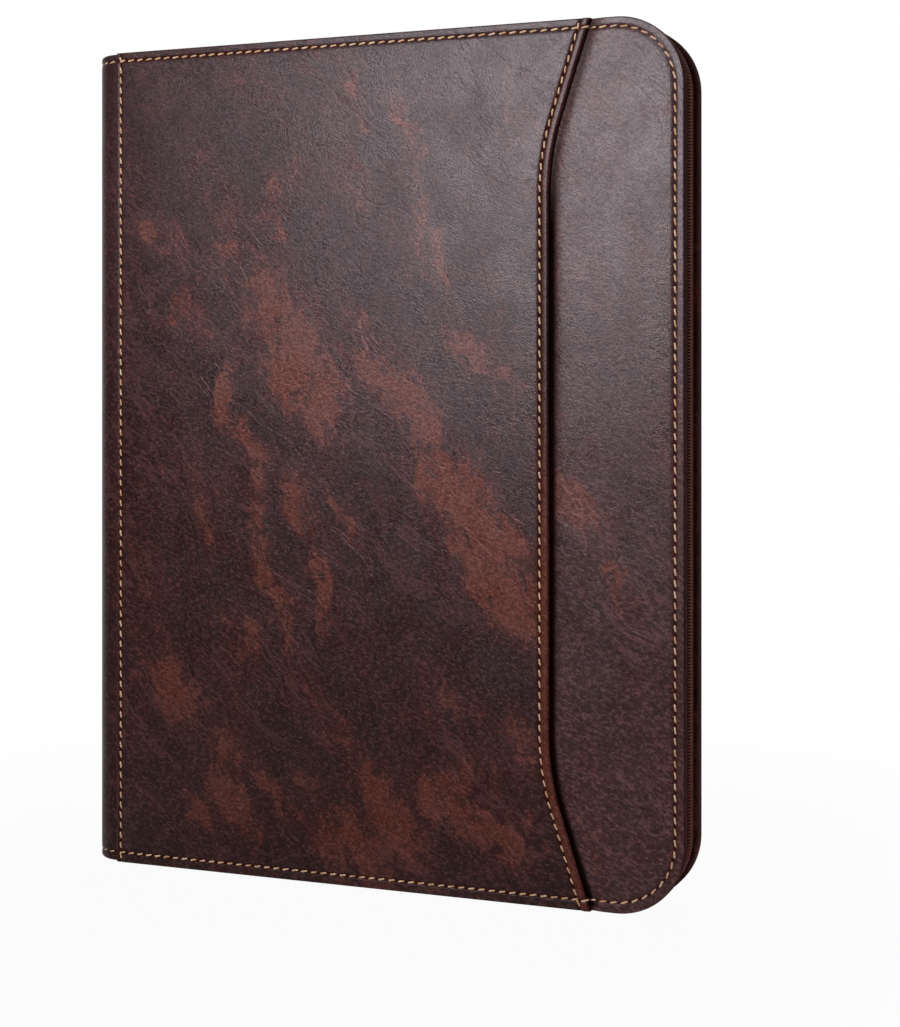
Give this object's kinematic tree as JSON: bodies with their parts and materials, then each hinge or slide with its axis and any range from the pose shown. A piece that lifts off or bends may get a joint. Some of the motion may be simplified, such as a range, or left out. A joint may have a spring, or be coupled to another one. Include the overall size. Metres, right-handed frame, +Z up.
{
  "type": "zippered padfolio",
  "caption": "Zip-round leather-look padfolio with padded covers, a folding spine, a curved slip pocket on the front, and a writing pad, pen loop and organiser inside.",
  "frame": {"origin": "middle of the lower edge of the closed case, on the surface it stands on", "axes": "+X from the spine to the fore edge, +Y from the front cover to the back cover, +Z up along the spine"},
  "size_m": [0.26, 0.03, 0.3472],
  "materials": {
    "cover_leather": "mottled semi-gloss, pebble grain",
    "spine_leather": "smooth semi-gloss",
    "organiser_leather": "fine grain, satin",
    "padding": "open-cell foam sheet",
    "board": "grey board",
    "lining": "fine woven",
    "zip_tape": "woven tape",
    "zip_coil": "satin nylon",
    "zip_metal": "antique brass",
    "pad_card": "matt grey-brown card",
    "pad_paper": "uncoated, ruled",
    "pad_binding": "cloth-textured paper tape",
    "pen_elastic": "woven elastic"
  },
  "bodies": {
    "back_cover": {"back_panel": "cover_leather", "back_padding": "padding", "back_board": "board", "back_lining": "lining", "back_hinge_flap": "spine_leather", "back_zip_tape": "zip_tape", "back_zip_coil": "zip_coil", "back_zip_stops": "zip_metal", "pad_pocket": "organiser_leather", "pad_backing": "pad_card", "pad_sheets": "pad_paper", "pad_binding": "pad_binding", "pen_loop": "pen_elastic"},
    "spine": {"spine_leather": "spine_leather", "spine_stiffener": "board", "spine_lining": "lining"},
    "front_cover": {"front_panel": "cover_leather", "front_pocket": "cover_leather", "front_padding": "padding", "front_board": "board", "front_lining": "lining", "front_hinge_flap": "spine_leather", "front_zip_tape": "zip_tape", "front_zip_coil": "zip_coil", "front_zip_stops": "zip_metal", "document_pocket": "organiser_leather", "card_slot_1": "organiser_leather", "card_slot_2": "organiser_leather", "card_slot_3": "organiser_leather", "phone_pocket": "organiser_leather"},
    "zip_slider": {"slider_body": "zip_metal", "slider_bail": "zip_metal"},
    "zip_pull": {"pull_tab": "zip_metal"}
  },
  "joints": [
    {"name": "spine_fold", "type": "hinge", "parent": "back_cover", "child": "spine", "pos_m": [-0.12743, 0.01142, 0.1725], "axis": [0, 0, -1], "range_deg": [0, 90]},
    {"name": "cover_fold", "type": "hinge", "parent": "spine", "child": "front_cover", "pos_m": [-0.12743, -0.01082, 0.1725], "axis": [0, 0, -1], "range_deg": [0, 90]},
    {"name": "slider_slide", "type": "slide", "parent": "back_cover", "child": "zip_slider", "axis": [1, 0, 0], "range_m": [0, 0.2], "deforming": ["front_zip_coil", "back_zip_coil"]},
    {"name": "pull_flip", "type": "hinge", "parent": "zip_slider", "child": "zip_pull", "pos_m": [-0.104, 0, 0.3457], "axis": [0, -1, 0], "range_deg": [0, 150]}
  ]
}
